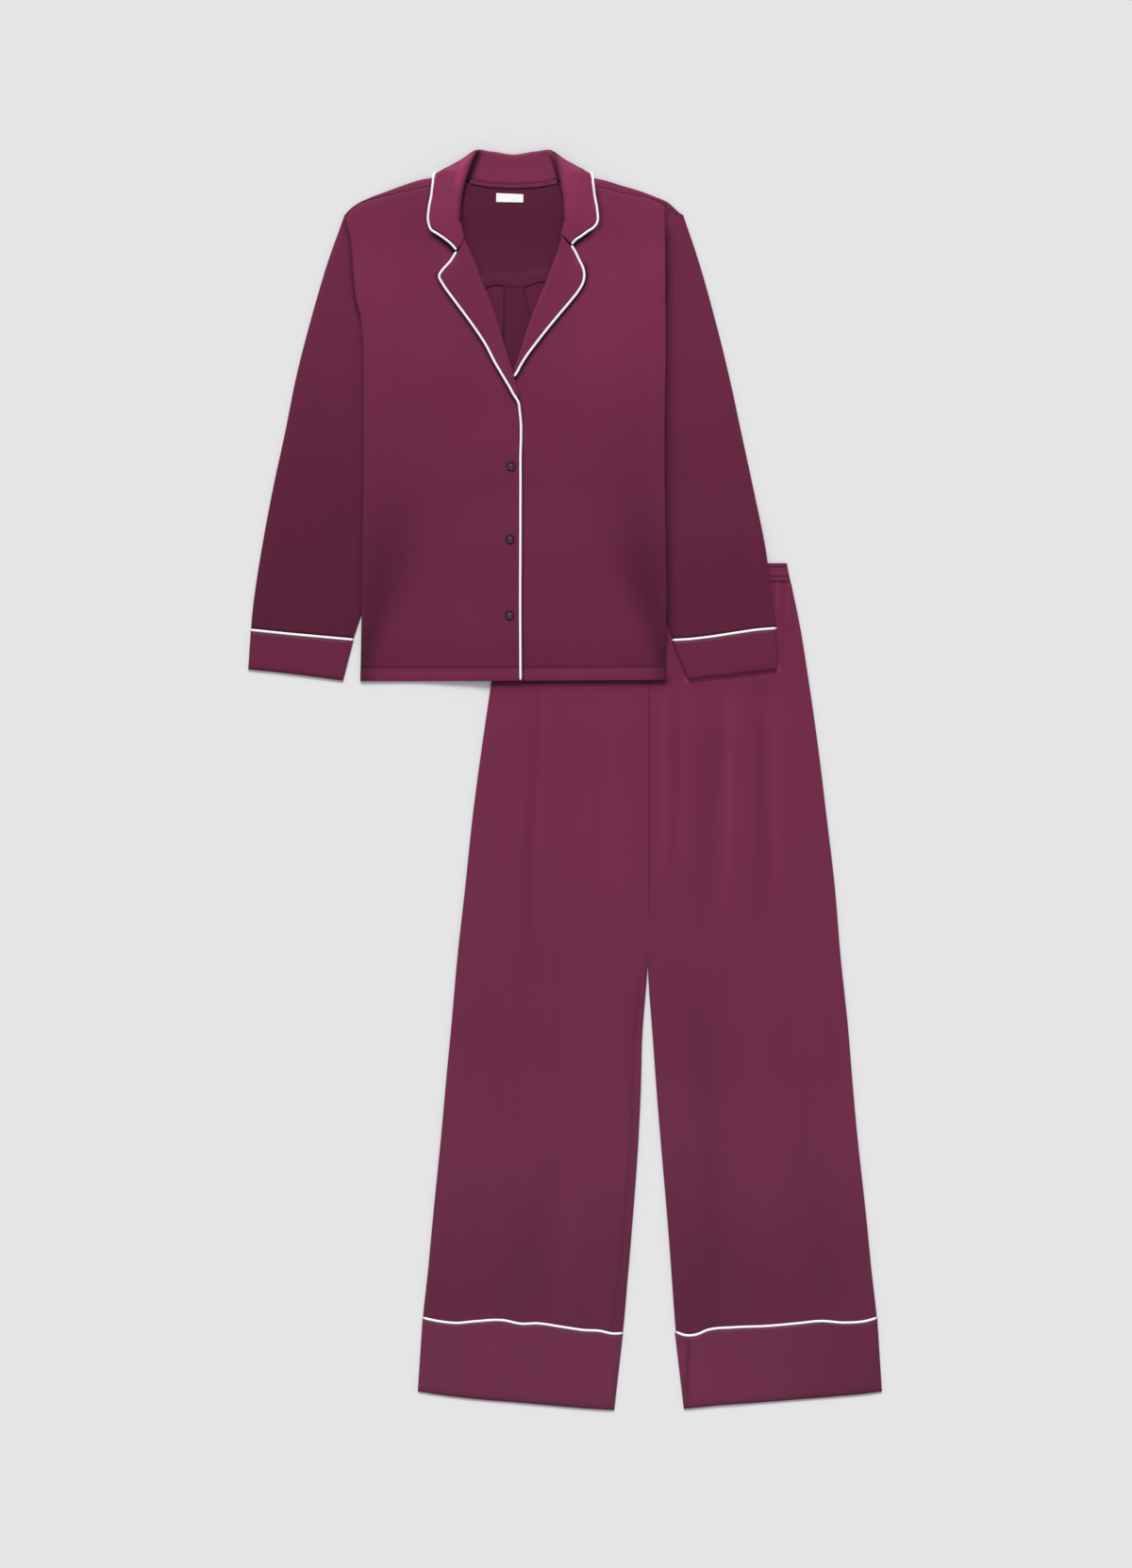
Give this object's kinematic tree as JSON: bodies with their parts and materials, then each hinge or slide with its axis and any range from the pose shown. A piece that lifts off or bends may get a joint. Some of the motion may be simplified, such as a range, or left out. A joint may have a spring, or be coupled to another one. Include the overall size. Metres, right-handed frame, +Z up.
{
  "type": "pyjama set",
  "caption": "Satin pyjama set laid flat: long-sleeved jacket with a notch collar and white piping over wide-legged trousers with an elastic waist.",
  "frame": {"origin": "centre of the bounding box in plan, on the floor the set lies on", "axes": "+Y from the trouser hems up to the collar, +Z up from the floor, +X to the wearer's left"},
  "size_m": [0.806, 1.6017, 0.0125],
  "materials": {
    "satin_plum": "satin",
    "piping_white": "satin",
    "label_white": "matte",
    "button_plum": "gloss"
  },
  "bodies": {
    "root": {"trouser_front_right": "satin_plum", "trouser_front_left": "satin_plum", "trouser_back_right": "satin_plum", "trouser_back_left": "satin_plum", "trouser_band_right": "satin_plum", "trouser_band_left": "satin_plum", "waistband": "satin_plum", "sleeve_right": "satin_plum", "sleeve_left": "satin_plum", "cuff_right": "satin_plum", "cuff_left": "satin_plum", "back_body": "satin_plum", "back_yoke": "satin_plum", "front_right": "satin_plum", "front_left": "satin_plum", "lapel_right": "satin_plum", "lapel_left": "satin_plum", "collar": "satin_plum", "neck_tape": "satin_plum", "piping_trouser_band_right": "piping_white", "piping_trouser_band_left": "piping_white", "piping_cuff_right": "piping_white", "piping_cuff_left": "piping_white", "piping_front": "piping_white", "piping_lapel": "piping_white", "piping_collar": "piping_white", "neck_label": "label_white", "button_1": "button_plum", "button_2": "button_plum", "button_3": "button_plum"}
  },
  "joints": []
}
